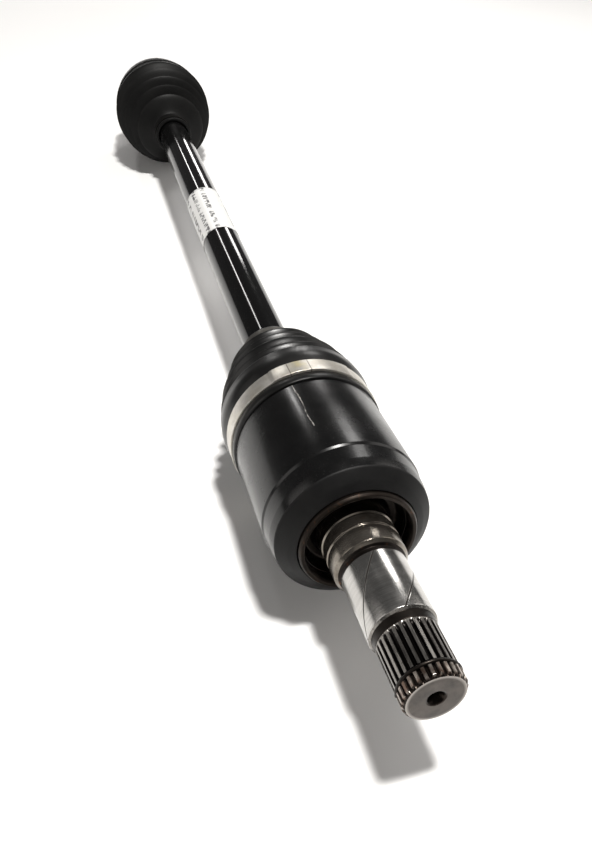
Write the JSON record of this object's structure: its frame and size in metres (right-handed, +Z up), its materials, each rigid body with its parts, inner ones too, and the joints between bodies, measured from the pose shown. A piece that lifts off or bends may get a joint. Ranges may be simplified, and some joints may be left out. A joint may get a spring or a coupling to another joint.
{
  "type": "cv axle",
  "caption": "Front-wheel drive axle: solid shaft with a booted plunging tripod joint and a booted ball joint, splined stubs at both ends and a hub nut.",
  "frame": {"origin": "on the floor under the middle of the axle, which lies with its shaft level", "axes": "+X along the shaft, from the gearbox end to the wheel end; +Z up; +Y across, by the right-hand rule"},
  "size_m": [0.834, 0.0912, 0.0939],
  "materials": {
    "black_paint": "gloss black paint over steel",
    "bright_steel": "ground or turned bare steel",
    "dark_steel": "dark oxidised steel",
    "band_steel": "bright stainless strip",
    "boot_plastic": "black thermoplastic elastomer, satin",
    "boot_rubber": "black rubber, matte",
    "paper": "white paper label, satin"
  },
  "bodies": {
    "shaft": {"intermediate_shaft": "black_paint", "shaft_label": "paper", "tripod_spider": "bright_steel", "spider_snap_ring": "dark_steel", "needle_set_1": "bright_steel", "needle_set_2": "bright_steel", "needle_set_3": "bright_steel", "roller_clip_1": "dark_steel", "roller_clip_2": "dark_steel", "roller_clip_3": "dark_steel", "inner_race": "bright_steel", "race_circlip": "dark_steel", "inner_boot_small_clamp": "band_steel", "outer_boot_small_clamp": "dark_steel"},
    "roller_1": {"tripod_roller_1": "bright_steel"},
    "roller_2": {"tripod_roller_2": "bright_steel"},
    "roller_3": {"tripod_roller_3": "bright_steel"},
    "inner_pivot": {"inner_boot": "boot_plastic"},
    "inner_joint": {"inner_housing": "black_paint", "stub_circlip": "dark_steel", "dust_ring": "dark_steel", "inner_boot_large_clamp": "band_steel"},
    "outer_joint": {"outer_housing": "black_paint", "outer_boot": "boot_rubber", "outer_boot_large_clamp": "dark_steel", "hub_washer": "bright_steel", "hub_nut": "bright_steel"},
    "cage": {"ball_cage": "dark_steel", "ball_1": "bright_steel", "ball_2": "bright_steel", "ball_3": "bright_steel", "ball_4": "bright_steel", "ball_5": "bright_steel", "ball_6": "bright_steel"}
  },
  "joints": [
    {"name": "inner_bend", "type": "hinge", "parent": "shaft", "child": "inner_pivot", "pos_m": [-0.27794, -0.00098, 0.04535], "axis": [0, 0.9588, 0.284], "range_deg": [-22.7, 17.3], "deforming": ["inner_boot"]},
    {"name": "plunge", "type": "slide", "parent": "inner_pivot", "child": "inner_joint", "axis": [0.9989, 0.0134, -0.0452], "range_m": [-0.014, 0.014]},
    {"name": "roller_1_spin", "type": "hinge", "parent": "shaft", "child": "roller_1", "pos_m": [-0.27794, -0.00752, 0.0674], "axis": [0, -0.284, 0.9588], "continuous": true},
    {"name": "roller_2_spin", "type": "hinge", "parent": "shaft", "child": "roller_2", "pos_m": [-0.27794, -0.01682, 0.02867], "axis": [0, -0.6884, -0.7254], "continuous": true},
    {"name": "roller_3_spin", "type": "hinge", "parent": "shaft", "child": "roller_3", "pos_m": [-0.27794, 0.02138, 0.03998], "axis": [0, 0.9724, -0.2334], "continuous": true},
    {"name": "outer_bend", "type": "hinge", "parent": "shaft", "child": "outer_joint", "pos_m": [0.29866, -0.00098, 0.04535], "axis": [0, 0.9379, -0.3469], "range_deg": [-52.55, 37.45], "deforming": ["outer_boot"]},
    {"name": "cage_bend", "type": "hinge", "parent": "shaft", "child": "cage", "pos_m": [0.29866, -0.00098, 0.04535], "axis": [0, 0.9379, -0.3469], "range_deg": [-26.27, 18.73]}
  ],
  "couplings": [
    {"joint": "roller_1_spin", "follows": "plunge", "rad_per_m": 66.667},
    {"joint": "roller_2_spin", "follows": "plunge", "rad_per_m": 66.667},
    {"joint": "roller_3_spin", "follows": "plunge", "rad_per_m": 66.667},
    {"joint": "cage_bend", "follows": "outer_bend", "ratio": 0.5}
  ]
}
